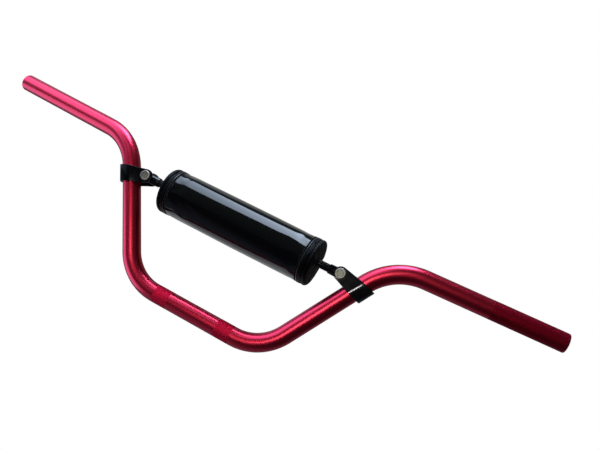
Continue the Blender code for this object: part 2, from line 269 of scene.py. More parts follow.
# %% [markdown]
# ## The camera
# The photograph looks at the front of the bar from its right, with the camera rolled over, so
# the bar runs from the upper left to the lower right. The camera was placed by lining up the
# bends, the tips and the tube's width.

# %% Camera
CAMERA_PLACE = Vector((0.2595, -0.7230, 0.0799))
CAMERA_TARGET = Vector((0.06457, 0.0, 0.14939))
CAMERA_ROLL = math.radians(27.527)
CAMERA_LENS = 38.69

camera_data = bpy.data.cameras.new("camera")
camera_data.lens = CAMERA_LENS
camera_data.sensor_width = 36.0
camera_data.clip_start = 0.01
camera = bpy.data.objects.new("camera", camera_data)
camera.location = CAMERA_PLACE
gaze = (CAMERA_TARGET - CAMERA_PLACE).to_track_quat("-Z", "Y").to_matrix()
camera.rotation_euler = (gaze @ Matrix.Rotation(CAMERA_ROLL, 3, "Z")).to_euler()
bpy.context.collection.objects.link(camera)
bpy.context.scene.camera = camera
print(f"camera lens {CAMERA_LENS} mm, rolled by {math.degrees(CAMERA_ROLL):.1f} degrees")

# %% [markdown]
# ## Building with nodes
# The world, the floor and every finish are built from nodes, with these few short functions.


# %% Node helpers
def new_group(name, inputs, outputs):
    """An empty node group with its sockets, and its input and output nodes."""
    made = bpy.data.node_groups.new(name, "ShaderNodeTree")
    for socket, kind, value in inputs:
        added = made.interface.new_socket(socket, in_out="INPUT", socket_type=kind)
        if value is not None:
            added.default_value = value
    for socket in outputs:
        made.interface.new_socket(socket, in_out="OUTPUT", socket_type="NodeSocketFloat")
    return made, made.nodes.new("NodeGroupInput"), made.nodes.new("NodeGroupOutput")


def add(tree, kind, inputs=None, **settings):
    """Add a node, set its properties, and set or link its inputs."""
    node = tree.nodes.new(kind)
    for key, value in settings.items():
        setattr(node, key, value)
    for key, value in (inputs or {}).items():
        if isinstance(value, bpy.types.NodeSocket):
            tree.links.new(value, node.inputs[key])
        else:
            node.inputs[key].default_value = value
    return node


def calc(tree, operation, first, second=0.5):
    """One Math node. It gives its output socket."""
    return add(tree, "ShaderNodeMath", {0: first, 1: second}, operation=operation).outputs[0]


def remap(tree, value, low, high, to_low=0.0, to_high=1.0, curve="LINEAR"):
    """A Map Range node from one range to another, clamped."""
    return add(tree, "ShaderNodeMapRange",
               {"Value": value, "From Min": low, "From Max": high,
                "To Min": to_low, "To Max": to_high}, interpolation_type=curve).outputs[0]


def blend(tree, share, first, second):
    """Mix two shaders by a share."""
    return add(tree, "ShaderNodeMixShader", {0: share, 1: first, 2: second}).outputs[0]


def start_material(name, **values):
    """A material, its tree, its Principled shader and its piece's Object coordinates."""
    made = bpy.data.materials.new(name)
    made.use_nodes = True
    tree = made.node_tree
    shader = tree.nodes["Principled BSDF"]
    for key, value in values.items():
        shader.inputs[key.replace("_", " ")].default_value = value
    return made, tree, shader, add(tree, "ShaderNodeTexCoord").outputs["Object"]


# %% [markdown]
# ## Light, floor and background
# A product photograph of shiny metal is made in a studio with a few strong soft lamps and a room
# that is dim otherwise. The lamps draw the bright stripes on the round tube, and the dim room
# leaves the dark stripes beside them. The background stays white to the camera.

# %% World
WORLD_FILL = 0.22
ROOM_DIM = 0.05
LEFT_WALL = (-0.40, -0.85, 0.0, 0.40)
BACK_WALL = (0.40, 0.60, 0.0, 0.10)
WALL_COLOUR = (0.85, 1.0, 1.5, 1)
WHITE = (1, 1, 1, 1)


def studio_world(tree):
    """White to the camera. Gloss sees a bluish wall at the left and a faint one at the back."""
    tree.nodes.clear()

    def glow(colour, strength):
        return add(tree, "ShaderNodeBackground",
                   {"Color": colour, "Strength": strength}).outputs[0]

    direction = add(tree, "ShaderNodeTexCoord").outputs["Generated"]
    split = add(tree, "ShaderNodeSeparateXYZ", {0: direction})
    left = remap(tree, split.outputs["X"], *LEFT_WALL, "SMOOTHSTEP")
    back = remap(tree, split.outputs["Y"], *BACK_WALL, "SMOOTHSTEP")
    room = add(tree, "ShaderNodeAddShader", {0: glow(WHITE, calc(tree, "ADD", back, ROOM_DIM)),
                                             1: glow(WALL_COLOUR, left)})
    rays = add(tree, "ShaderNodeLightPath")
    unseen = blend(tree, rays.outputs["Is Glossy Ray"], glow(WHITE, WORLD_FILL), room.outputs[0])
    seen = blend(tree, rays.outputs["Is Camera Ray"], unseen, glow(WHITE, 1.0))
    add(tree, "ShaderNodeOutputWorld", {0: seen})


world = bpy.data.worlds.new("studio")
bpy.context.scene.world = world
world.use_nodes = True
studio_world(world.node_tree)
print("world fill", WORLD_FILL)

# %% Lamps
# Each lamp has the direction it stands in, its distance, its size, how bright it looks and its
# colour. Its second side stands upright, unless a last entry gives another way for it.
LAMP_TARGET = Vector((0.0, 0.0, 0.1))
FRONT = (0.0, -1.0, -0.03)
LAMPS = {
    "top_box": ((-0.42, -0.14, 0.89), 2.4, (1.1, 2.0), 5.2, (0.9, 1.0, 1.75)),
    "pad_box": ((-0.42, -0.218, 0.881), 2.0, (1.5, 2.0), 5.0, (0.82, 1.0, 1.25), (1, 0, 0)),
    "strap_lamp": (FRONT, 1.5, (0.12, 0.75), 70.0, (1.0, 0.98, 0.95), UPRIGHT),
    "front_lamp": (FRONT, 1.5, (0.44, 0.70), 3.9, (1.0, 0.97, 1.15)),
    "left_high_box": ((-0.78, -0.40, 0.46), 2.0, (1.5, 1.5), 1.25, (0.88, 1.0, 2.1)),
    "front_high_lamp": ((0.12, -0.93, 0.33), 1.5, (0.35, 0.35), 0.65, (1, 1, 1)),
    "front_left_lamp": ((-0.34, -0.73, 0.56), 1.5, (0.4, 0.4), 0.8, (1.0, 1.0, 1.4)),
    "top_rear_box": ((-0.30, 0.22, 0.93), 2.0, (0.7, 0.5), 2.2, (0.9, 1.0, 1.6)),
    "left_low_box": ((-0.85, -0.15, -0.55), 0.95, (0.7, 0.7), 1.0, (0.85, 1.0, 1.8)),
    "rear_box": ((-0.40, 0.75, 0.40), 1.5, (1.6, 1.9), 0.45, (0.95, 1.0, 1.0)),
    "rear_low_box": ((-0.40, 0.60, -0.75), 0.8, (1.4, 0.8), 0.7, (1, 1, 1)),
}


def lamp(name, direction, distance, size, radiance, colour, along=None):
    """A rectangular soft lamp. Its power follows from its size and how bright it looks."""
    data = bpy.data.lights.new(name, "AREA")
    data.shape = "RECTANGLE"
    data.size, data.size_y = size
    data.energy = radiance * math.pi * size[0] * size[1]
    data.color = colour
    made = bpy.data.objects.new(name, data)
    aim = Vector(direction).normalized()
    made.location = LAMP_TARGET + aim * distance
    made.rotation_euler = aim.to_track_quat("Z", "Y").to_euler()
    if along is not None:
        side = (Vector(along) - aim * aim.dot(along)).normalized()
        made.rotation_euler = Matrix((side.cross(aim), side, aim)).transposed().to_euler()
    bpy.context.collection.objects.link(made)
    made.visible_camera = False
    return made


def fade(made, near, far, start=0.0):
    """Let a lamp's brightness run from one side of it, or from some way in, to the other."""
    made.data.use_nodes = True
    tree = made.data.node_tree
    place = add(tree, "ShaderNodeNewGeometry").outputs["Parametric"]
    split = add(tree, "ShaderNodeSeparateXYZ", {0: place})
    share = remap(tree, split.outputs["Y"], start, 1.0, near, far)
    tree.links.new(share, tree.nodes["Emission"].inputs["Strength"])


def receivers(name, pieces, state="INCLUDE"):
    """Let a lamp light only some pieces, or all but those."""
    group = bpy.data.collections.new(name + "_receivers")
    for piece in pieces:
        group.objects.link(piece)
    lamps[name].light_linking.receiver_collection = group
    for item in group.collection_objects:
        item.light_linking.link_state = state


lamps = {name: lamp(name, *facts) for name, facts in LAMPS.items()}
fade(lamps["top_box"], 0.02, 1.9)
fade(lamps["pad_box"], 0.0, 3.2, 0.135)
print("lamps:", list(lamps))

# %% Floor
FLOOR_SIZE = 12
FLOOR_DROP = 0.75
FLOOR_WAY = (-0.7, 1.0, 0.0)
FLOOR_PAINTED_LIGHT = (-0.8, 0.2, 0.03, 0.30)
bpy.ops.mesh.primitive_plane_add(size=FLOOR_SIZE, location=(0, 0, -FLOOR_DROP))
floor = settle("studio_floor")


def floor_finish():
    """White to the camera. To all else it is grey, with painted light: lighter towards the back and
    the left.
    """
    made, tree, shader, place = start_material("studio_floor", Roughness=0.9)
    slope = add(tree, "ShaderNodeVectorMath", {0: place, 1: FLOOR_WAY}, operation="DOT_PRODUCT")
    # Painted light: the floor's grey runs lighter towards the back and the left.
    shade = remap(tree, slope.outputs["Value"], *FLOOR_PAINTED_LIGHT, "SMOOTHSTEP")
    tree.links.new(shade, shader.inputs["Base Color"])
    seen = add(tree, "ShaderNodeLightPath").outputs["Is Camera Ray"]
    glow = add(tree, "ShaderNodeEmission").outputs[0]
    tree.links.new(blend(tree, seen, shader.outputs[0], glow),
                   tree.nodes["Material Output"].inputs[0])
    return made


floor.data.materials.append(floor_finish())
print("floor at z", -FLOOR_DROP)

# %% [markdown]
# ## Building blocks for the finishes
# Effects that several finishes share are node groups with named inputs and outputs. Each gives
# out only a mask or a height. The shader itself stays in the material.


# %% Shared effects
PLACE_AND_SCALE = [("Vector", "NodeSocketVector", None), ("Scale", "NodeSocketFloat", 100.0)]


def build_fine_grain():
    """The even, very fine unevenness that blasting or a coating leaves on metal."""
    made, given, result = new_group("fine_grain", PLACE_AND_SCALE, ["Height"])
    fine = add(made, "ShaderNodeTexNoise",
               {"Vector": given.outputs["Vector"], "Scale": given.outputs["Scale"],
                "Detail": 3.0, "Roughness": 0.6})
    made.links.new(fine.outputs["Fac"], result.inputs["Height"])
    return made


def build_handling_marks():
    """Broad, faint patches where a surface has been handled and wiped."""
    made, given, result = new_group("handling_marks", PLACE_AND_SCALE, ["Mask"])
    broad = add(made, "ShaderNodeTexNoise",
                {"Vector": given.outputs["Vector"], "Scale": given.outputs["Scale"],
                 "Detail": 4.0, "Roughness": 0.55, "Distortion": 0.4})
    made.links.new(remap(made, broad.outputs["Fac"], 0.38, 0.68), result.inputs["Mask"])
    return made


def build_weave():
    """A plain weave: threads over and under in both directions."""
    made, given, result = new_group(
        "woven_threads",
        [("UV", "NodeSocketVector", None), ("Threads", "NodeSocketFloat", 60.0)],
        ["Height", "Gap"])
    split = add(made, "ShaderNodeSeparateXYZ", {0: given.outputs["UV"]})
    across, along = (calc(made, "MULTIPLY", split.outputs[axis], given.outputs["Threads"])
                     for axis in "XY")
    checker = calc(made, "FLOORED_MODULO", calc(made, "ADD", calc(made, "FLOOR", across),
                                                calc(made, "FLOOR", along)), 2.0)
    ridge_across, ridge_along = (
        calc(made, "SINE", calc(made, "MULTIPLY", calc(made, "FRACT", way), math.pi))
        for way in (across, along))
    over = calc(made, "MULTIPLY", checker, ridge_across)
    under = calc(made, "MULTIPLY", calc(made, "SUBTRACT", 1.0, checker), ridge_along)
    gap = calc(made, "SUBTRACT", 1.0, calc(made, "MULTIPLY", ridge_across, ridge_along))
    made.links.new(calc(made, "ADD", over, under), result.inputs["Height"])
    made.links.new(gap, result.inputs["Gap"])
    return made


FINE_GRAIN = build_fine_grain()
HANDLING_MARKS = build_handling_marks()
WEAVE = build_weave()
print("node groups:", [group.name for group in bpy.data.node_groups])


# %% What goes into a shader
def marks_at(tree, place, scale):
    """The mask of the handling marks."""
    return add(tree, "ShaderNodeGroup", {"Vector": place, "Scale": scale},
               node_tree=HANDLING_MARKS).outputs["Mask"]


def set_gloss(tree, shader, share, low, high):
    """Let a share vary the roughness."""
    tree.links.new(remap(tree, share, 0.0, 1.0, low, high), shader.inputs["Roughness"])


def set_colour(tree, shader, share, low, high):
    """Let a share mix the base colour of two."""
    node = add(tree, "ShaderNodeMix", {"Factor": share, "A": (*low, 1), "B": (*high, 1)},
               data_type="RGBA")
    tree.links.new(node.outputs["Result"], shader.inputs["Base Color"])


def set_bump(tree, shader, height, distance, strength):
    """Let a height bend the surface's normal."""
    node = add(tree, "ShaderNodeBump", {"Height": height, "Distance": distance,
                                        "Strength": strength})
    tree.links.new(node.outputs[0], shader.inputs["Normal"])


def set_grain(tree, shader, place, scale, distance, strength):
    """Let the fine grain bend the surface's normal."""
    grain = add(tree, "ShaderNodeGroup", {"Vector": place, "Scale": scale},
                node_tree=FINE_GRAIN)
    set_bump(tree, shader, grain.outputs["Height"], distance, strength)


# %% [markdown]
# ## Finishes
# Anodising dyes the skin of the aluminium, so the bar is metal with a coloured reflection under
# a clear skin. The straps, eyes and rod have a black coating over steel, and the bolts are zinc
# plated. The sleeve of the pad is glossy coated cloth, and its ends are woven.

# %% Finishes
RED_DYES = ((0.86, 0.015, 0.046), (0.83, 0.017, 0.055))
ANODIC_SKIN = 0.55
ANODIC_GLOSS = 0.24
ANODIC_IOR = 1.6
RIM_HIGHLIGHT_START = 0.0047
RIM_HIGHLIGHT_FULL = 0.0053
FACE_DEPTH = 0.0016


def anodised_red(name, low_gloss, high_gloss, depth=1.0, skin=0.0):
    """Red dyed anodising: a satin metal whose dye and gloss vary faintly along the bar."""
    made, tree, shader, place = start_material(
        name, Metallic=1.0, Coat_Weight=skin, Coat_Roughness=ANODIC_GLOSS, Coat_IOR=ANODIC_IOR)
    marks = marks_at(tree, place, 9.0)
    # depth scales the whole red down: painted shade, used for the knurled bands.
    set_colour(tree, shader, marks, *[[depth * value for value in dye] for dye in RED_DYES])
    set_gloss(tree, shader, marks, low_gloss, high_gloss)
    return made


def black_coat():
    """Satin black coating on steel, with a slight orange peel."""
    made, tree, shader, place = start_material("black_coat", Specular_IOR_Level=0.3)
    marks = marks_at(tree, place, 90.0)
    set_colour(tree, shader, marks, (0.0022, 0.0022, 0.0022), (0.0042, 0.0042, 0.0042))
    set_gloss(tree, shader, marks, 0.14, 0.20)
    set_grain(tree, shader, place, 700.0, 0.000008, 0.5)
    return made


def zinc_plate():
    """Zinc plating with a hint of olive, and a painted highlight: paler towards the rim of each
    fastener.
    """
    made, tree, shader, place = start_material("zinc_plate", Metallic=1.0)
    split = add(tree, "ShaderNodeSeparateXYZ", {0: place})
    across = calc(tree, "SUBTRACT", calc(tree, "ABSOLUTE", split.outputs["X"]), BOLT_X)
    height = calc(tree, "SUBTRACT", split.outputs["Z"], BOLT_Z)
    reach = calc(tree, "SQRT", calc(tree, "ADD", calc(tree, "MULTIPLY", across, across),
                                    calc(tree, "MULTIPLY", height, height)))
    # The paler rim is a painted highlight.
    rim = remap(tree, reach, RIM_HIGHLIGHT_START, RIM_HIGHLIGHT_FULL)
    set_colour(tree, shader, rim, (0.37, 0.37, 0.235), (0.72, 0.69, 0.55))
    set_gloss(tree, shader, marks_at(tree, place, 70.0), 0.48, 0.55)
    set_grain(tree, shader, place, 2200.0, 0.0000015, 0.5)
    return made


def glossy_vinyl():
    """Coated cloth: nearly black, wet-looking, with the faint waves of a stretched skin."""
    made, tree, shader, place = start_material("glossy_vinyl", Specular_IOR_Level=0.3,
                                               Base_Color=(0.0042, 0.0042, 0.0042, 1))
    set_gloss(tree, shader, marks_at(tree, place, 55.0), 0.05, 0.10)
    set_grain(tree, shader, place, 70.0, 0.0001, 0.25)
    return made


def wrapped_place(tree, place):
    """Coordinates laid on the pad like its cloth: round it and along it, and flat on its ends."""
    split = add(tree, "ShaderNodeSeparateXYZ", {0: place})
    height = calc(tree, "SUBTRACT", split.outputs["Z"], PAD_Z)
    around = calc(tree, "MULTIPLY", calc(tree, "ARCTAN2", height, split.outputs["Y"]), PAD_RADIUS)
    along = calc(tree, "ABSOLUTE", split.outputs["X"])
    on_face = calc(tree, "GREATER_THAN", along, PAD_HALF - FACE_DEPTH)
    wrapped = add(tree, "ShaderNodeCombineXYZ", {"X": around, "Y": along})
    flat = add(tree, "ShaderNodeCombineXYZ", {"X": split.outputs["Y"], "Y": height})
    choice = add(tree, "ShaderNodeMix",
                 {"Factor": on_face, 4: wrapped.outputs[0], 5: flat.outputs[0]},
                 data_type="VECTOR")
    return choice.outputs[1]


def woven_nylon(name, threads, light, depth, sheen):
    """Black woven cloth whose threads follow the round of the pad."""
    made, tree, shader, place = start_material(
        name, Roughness=0.55, Specular_IOR_Level=0.12, Sheen_Weight=sheen, Sheen_Roughness=0.5)
    weave = add(tree, "ShaderNodeGroup", {"UV": wrapped_place(tree, place), "Threads": threads},
                node_tree=WEAVE)
    # The gaps between the threads are painted darker: painted shade.
    set_colour(tree, shader, weave.outputs["Gap"], (light, light, light * 1.12),
               (light * 0.3, light * 0.3, light * 0.33))
    set_bump(tree, shader, weave.outputs["Height"], depth, 0.8)
    return made


def plain_finish(name, colour, roughness, scale, depth):
    """A plain finish with a fine grain: thread, piping and foam."""
    made, tree, shader, place = start_material(name, Roughness=roughness)
    set_colour(tree, shader, marks_at(tree, place, scale / 8),
               [0.8 * value for value in colour], colour)
    set_grain(tree, shader, place, scale, depth, 0.6)
    return made


# The knurled bands take darker copies of the red as painted shade; the grip's is the darkest.
ANODISED_RED = anodised_red("anodised_red", 0.31, 0.34, skin=ANODIC_SKIN)
CENTRE_KNURL = anodised_red("centre_knurl", 0.54, 0.60, 0.85)
GRIP_KNURL = anodised_red("grip_knurl", 0.42, 0.48, 0.5)
BLACK_COAT = black_coat()
ZINC_PLATE = zinc_plate()
GLOSSY_VINYL = glossy_vinyl()
CAP_CLOTH = woven_nylon("cap_cloth", 1900.0, 0.003, 0.00006, 0.02)
LOOP_PILE = woven_nylon("loop_pile", 900.0, 0.016, 0.0003, 0.3)
PIPING_CORD = plain_finish("piping_cord", (0.02, 0.021, 0.021), 0.32, 900.0, 0.00002)
SEWING_THREAD = plain_finish("sewing_thread", (0.03, 0.03, 0.032), 0.5, 4000.0, 0.00003)
SOFT_FOAM = plain_finish("soft_foam", (0.03, 0.03, 0.033), 0.95, 1500.0, 0.0002)
print("finishes:", [item.name for item in bpy.data.materials if item.use_nodes])

# %% [markdown]
# ## The bent tube
# The real bar starts as a straight tube and is bent on round dies. The model follows that: a
# ring is extruded along each straight run and spun round the centre of each bend. One half is
# drawn and mirrored, and the wall then grows inwards.

# %% Tube sizes
TUBE_SIDES = 60
BEND_STEPS = 26
END_ROUND = 0.0005
KNURL_PITCH = math.tau * TUBE_RADIUS / TUBE_SIDES
KNURL_HEIGHT = 0.0001
KNURL_START = 0.0335
KNURL_ROWS = 17
GRIP_KNURL_START = 0.297
GRIP_KNURL_ROWS = 73


# %% Tube
def bend_facts(before, corner, after, radius):
    """Where a bend starts, its centre, the axis it turns about and how far it turns."""
    ahead = (corner - before).normalized()
    onward = (after - corner).normalized()
    turn = ahead.angle(onward)
    start = corner - ahead * radius * math.tan(turn / 2)
    axis = ahead.cross(onward).normalized()
    centre = start + axis.cross(ahead) * radius
    return start, centre, axis, turn


def run_to(here, there):
    """Extrude the ring at the tube's end in one straight run."""
    bpy.ops.mesh.extrude_edges_move(TRANSFORM_OT_translate={"value": there - here})
    return there


def rings_to(here, direction, pitch, count):
    """Extrude the ring in small equal steps, as a grid for the knurling."""
    for row in range(count):
        here = run_to(here, here + direction * pitch)
    return here


def draw_tube():
    """The half bar, ring by ring, then mirrored, walled and rounded at its ends."""
    bpy.ops.mesh.primitive_circle_add(vertices=TUBE_SIDES, radius=TUBE_RADIUS,
                                      fill_type="NOTHING", rotation=ALONG["X"])
    tube = settle("bar_tube")
    begin_edit(tube)
    pick_all()
    here = run_to(Vector((0, 0, 0)), Vector((KNURL_START, 0, 0)))
    here = rings_to(here, Vector((1, 0, 0)), KNURL_PITCH, KNURL_ROWS)
    bends = [bend_facts(Vector((0, 0, 0)), LOWER_CORNER, UPPER_CORNER, LOWER_BEND_RADIUS),
             bend_facts(LOWER_CORNER, UPPER_CORNER, TIP, UPPER_BEND_RADIUS)]
    for start, centre, axis, turn in bends:
        run_to(here, start)
        bpy.ops.mesh.spin(steps=BEND_STEPS, angle=-turn, center=centre, axis=axis)
        here = centre + Matrix.Rotation(turn, 3, axis) @ (start - centre)
    here = run_to(here, here + GRIP * ((GRIP_KNURL_START - here.x) / GRIP.x))
    here = rings_to(here, GRIP, KNURL_PITCH, GRIP_KNURL_ROWS)
    run_to(here, TIP)
    end_edit()
    modify(tube, "MIRROR", use_axis=(True, False, False), merge_threshold=1e-5)
    outwards(tube)
    thicken(tube, TUBE_WALL, -1.0)
    bevel_where(tube, lambda edge: len(edge.link_faces) == 2
                and edge.calc_face_angle(0) > math.radians(60), END_ROUND, 3)
    return tube


def knurl(tube, on_band, finish):
    """Raise a diamond knurl: split each square from its middle, join the halves that face each
    other over its edges into diamonds, and lift the middle of each diamond."""
    tube.data.materials.append(finish)
    begin_edit(tube)
    pick("FACE", on_band)
    bpy.ops.mesh.poke()
    count = pick("EDGE", lambda edge: len(edge.link_faces) == 2
                 and all(len(face.verts) == 3 and on_band(face) for face in edge.link_faces)
                 and edge.calc_length() > 0.95 * KNURL_PITCH)
    bpy.ops.mesh.dissolve_edges(use_verts=False)
    pick("FACE", lambda face: on_band(face) and face.calc_area() < 0.6 * KNURL_PITCH ** 2)
    bpy.ops.mesh.poke(offset=KNURL_HEIGHT)
    for face in bmesh.from_edit_mesh(tube.data).faces:
        if face.select:
            face.material_index = len(tube.data.materials) - 1
    end_edit()
    print("knurled over", count, "edges")


def on_outside(face):
    """Whether a face lies on the outside of the wall."""
    place = face.calc_center_median()
    along = min(max((abs(place.x) - UPPER_CORNER.x) / (TIP.x - UPPER_CORNER.x), 0), 1)
    axis = UPPER_CORNER.lerp(TIP, along) if along else Vector()
    return (place - Vector((place.x, axis.y, axis.z))).length > TUBE_RADIUS - 0.5 * TUBE_WALL


def on_centre_band(face):
    """The two bands that the bar clamps grip."""
    place = face.calc_center_median()
    band = KNURL_START < abs(place.x) < KNURL_START + KNURL_ROWS * KNURL_PITCH
    return band and on_outside(face)


def on_grip_band(face):
    """The band under the right grip."""
    place = face.calc_center_median()
    past = (place - UPPER_CORNER).dot(GRIP)
    first = (GRIP_KNURL_START - UPPER_CORNER.x) / GRIP.x
    band = first < past < first + GRIP_KNURL_ROWS * KNURL_PITCH
    return place.x > 0 and band and on_outside(face)


bar_tube = draw_tube()
bar_tube.data.materials.append(ANODISED_RED)
knurl(bar_tube, on_centre_band, CENTRE_KNURL)
knurl(bar_tube, on_grip_band, GRIP_KNURL)
smooth(bar_tube, 20)
dress(bar_tube, ANODISED_RED, "red_anodised", "handlebar_tube")

# %% [markdown]
# ## The clamp straps
# Each strap is a flat steel blank, cut to a drop shape and folded round the upright. It is made
# the same way here, in the reverse order: a strip is folded round the tube in a frame that
# stands along the upright, and the drop-shaped outline then trims it. The outline leans against
# the fold, because the crossbar isn't square to the upright.

# %% Strap sizes
FIT = 0.0003
STRAP_THICKNESS = 0.003
STRAP_WIDTH = 0.0205
STRAP_BELOW_BEND = 0.0002
STRAP_REACH = 0.0239
STRAP_ANGLE = math.radians(17)
EAR_RADIUS = 0.0083
EAR_SHOULDER = 0.0012
EYE_WIDTH = 0.016
BOLT_HOLE_RADIUS = 0.0033
STRAP_EDGE_ROUND = 0.00045
WRAP_STEPS = 30
STRIP_OVERSIZE = 1.6
TRIM_DEPTH = 0.06
EAR_SIDES = 72

UPPER_TANGENT = UPPER_BEND_RADIUS * math.tan(UPRIGHT.angle(GRIP) / 2)
STRAP_STATION = (UPPER_CORNER - LOWER_CORNER).length - UPPER_TANGENT
STRAP_STATION -= STRAP_BELOW_BEND + STRAP_WIDTH / 2
STRAP_CENTRE = LOWER_CORNER + UPRIGHT * STRAP_STATION
UPRIGHT_LEAN = math.atan2(UPRIGHT.x, UPRIGHT.z)
STRAP_SKEW = UPRIGHT_LEAN - STRAP_ANGLE
LEG_INNER_Y = EYE_WIDTH / 2 + FIT
LEG_OUTER_Y = LEG_INNER_Y + STRAP_THICKNESS
BOLT_REACH = STRAP_REACH * math.cos(STRAP_SKEW)
print(f"strap skewed {math.degrees(STRAP_SKEW):.1f} degrees,",
      f"legs {2 * LEG_INNER_Y * 1000:.1f} mm apart")


# %% Strap
def lone_vertex(name, place):
    """A mesh of one vertex, in edit mode, ready to be extruded."""
    bpy.ops.mesh.primitive_plane_add(size=0.001, location=place)
    made = settle(name)
    begin_edit(made)
    pick_all()
    bpy.ops.mesh.merge(type="CENTER")
    return made


def draw_to(here, there):
    """Extrude the selected vertices from one place to another."""
    push(Vector(there) - Vector(here))


def folded_strip(name):
    """The strip: front ear, front leg, wrap, rear leg and rear ear, then its width."""
    wrap_radius = TUBE_RADIUS + FIT
    flat = Vector((BOLT_REACH - EAR_RADIUS - EAR_SHOULDER, -LEG_INNER_Y, 0))
    slope = math.atan2(flat.x, -flat.y) - math.acos(wrap_radius / flat.length)
    touch = Vector((math.sin(slope), -math.cos(slope), 0)) * wrap_radius
    end = Vector((BOLT_REACH + 2 * EAR_RADIUS, -LEG_INNER_Y, 0))
    down = Vector((0, 0, -STRIP_OVERSIZE * STRAP_WIDTH))
    rear = Vector((1, -1, 1))
    strip = lone_vertex(name, end + down)
    draw_to(end, flat)
    draw_to(flat, touch)
    bpy.ops.mesh.spin(steps=WRAP_STEPS, angle=math.pi + 2 * slope, center=down, axis=(0, 0, 1))
    draw_to(touch * rear, flat * rear)
    draw_to(flat * rear, end * rear)
    pick_all()
    push(-2 * down)
    end_edit()
    outwards(strip)
    return strip


def drop_outline(name):
    """The blank's outline as a thick block: the wrap's rectangle drawn in to the round ear."""
    ear = cylinder(name, EAR_RADIUS, TRIM_DEPTH, (STRAP_REACH, 0, 0), sides=EAR_SIDES)
    wrap = block(name + "_wrap", (STRAP_WIDTH, TRIM_DEPTH, STRAP_WIDTH), (-STRAP_WIDTH / 2, 0, 0))
    take(wrap, ear)
    bpy.ops.object.join()
    begin_edit(ear)
    pick_all()
    bpy.ops.mesh.convex_hull()
    end_edit()
    ear.rotation_euler = (0, STRAP_SKEW, 0)
    freeze(ear)
    return ear


def trim(made, tool, operation):
    """Cut a piece with a tool and remove the tool."""
    modify(made, "BOOLEAN", operation=operation, object=tool, solver="EXACT")
    bpy.data.objects.remove(tool, do_unlink=True)


def drill(made, radius, place, axis="Y", depth=TRIM_DEPTH):
    """Cut a round hole through a piece."""
    trim(made, cylinder("hole_tool", radius, depth, place, axis, HOLE_SIDES), "DIFFERENCE")


def draw_strap(name):
    """The left strap, folded, trimmed, drilled and softened along its edges."""
    strap = folded_strip(name)
    thicken(strap, STRAP_THICKNESS, 1.0)
    trim(strap, drop_outline("outline_tool"), "INTERSECT")
    drill(strap, BOLT_HOLE_RADIUS, (BOLT_REACH, 0, -STRAP_REACH * math.sin(STRAP_SKEW)))
    soften(strap, STRAP_EDGE_ROUND, 3, 50)
    strap.rotation_euler = (0, -UPRIGHT_LEAN, 0)
    strap.location = (-STRAP_CENTRE.x, 0, STRAP_CENTRE.z)
    freeze(strap)
    smooth(strap, 30)
    return strap


strap_left = draw_strap("strap_left")
strap_right = twin(strap_left, "strap_right")
dress_pair(strap_left, strap_right, BLACK_COAT, "black_steel", "clamp_strap")

# %% [markdown]
# ## Bolts, washers and nuts
# These are turned parts, so each starts as a cylinder and is shaped face by face: inset, push,
# extrude and bevel. The bolt's broad head has a raised rim round a shallow dish, and the heads
# of both bolts face the front.

# %% Fastener sizes
HEAD_RADIUS = 0.0061
HEAD_HEIGHT = 0.0026
HEAD_EDGE_ROUND = 0.0008
HEAD_RIM_WIDTH = 0.0013
HEAD_DISH_DEPTH = 0.0004
SHANK_RADIUS = 0.003
THREAD_STEP = 0.0004
THREAD_SHARE = 0.88
THREAD_TURNS = 4
WASHER_RADIUS = 0.006
WASHER_THICKNESS = 0.0012
WASHER_EDGE_ROUND = 0.00015
NUT_CORNER_RADIUS = 0.010 / math.sqrt(3)
NUT_HEIGHT = 0.005
NUT_CHAMFER = 0.0007
NUT_EDGE_ROUND = 0.0002
HEAD_SEAT_Y = -LEG_OUTER_Y - FIT
WASHER_Y = LEG_OUTER_Y + FIT
NUT_Y = WASHER_Y + WASHER_THICKNESS + FIT


# %% Bolt
def largest_facing(direction):
    """In edit mode, select only the largest face that looks one way."""
    edit = bmesh.from_edit_mesh(bpy.context.edit_object.data)
    found = [face for face in edit.faces if face.normal.dot(Vector(direction)) > 0.9]
    best = max(found, key=lambda face: face.calc_area())
    place = best.calc_center_median()
    size = best.calc_area()
    pick("FACE", lambda face: face.calc_area() > 0.99 * size
         and (face.calc_center_median() - place).length < 1e-6)


def draw_bolt(name):
    """A pin bolt on the Y axis: dished head, shank and the thread's end."""
    bolt = cylinder(name, HEAD_RADIUS, HEAD_HEIGHT, (0, HEAD_SEAT_Y - HEAD_HEIGHT / 2, 0))
    front = HEAD_SEAT_Y - HEAD_HEIGHT
    bevel_where(bolt, lambda edge: abs(middle(edge).y - front) < 1e-6, HEAD_EDGE_ROUND, 3)
    begin_edit(bolt)
    largest_facing((0, -1, 0))
    bpy.ops.mesh.inset(thickness=HEAD_RIM_WIDTH)
    bpy.ops.mesh.inset(thickness=HEAD_DISH_DEPTH, depth=-HEAD_DISH_DEPTH)
    bpy.ops.mesh.inset(thickness=HEAD_DISH_DEPTH)
    largest_facing((0, 1, 0))
    bpy.ops.mesh.inset(thickness=HEAD_RADIUS - SHANK_RADIUS)
    push((0, NUT_Y + NUT_HEIGHT - HEAD_SEAT_Y, 0))
    for turn in range(THREAD_TURNS):
        share = 1 / THREAD_SHARE if turn % 2 else THREAD_SHARE
        push((0, THREAD_STEP, 0))
        bpy.ops.transform.resize(value=(share, 1, share))
    bpy.ops.mesh.inset(thickness=THREAD_STEP, depth=THREAD_STEP)
    end_edit()
    smooth(bolt, 30)
    return bolt


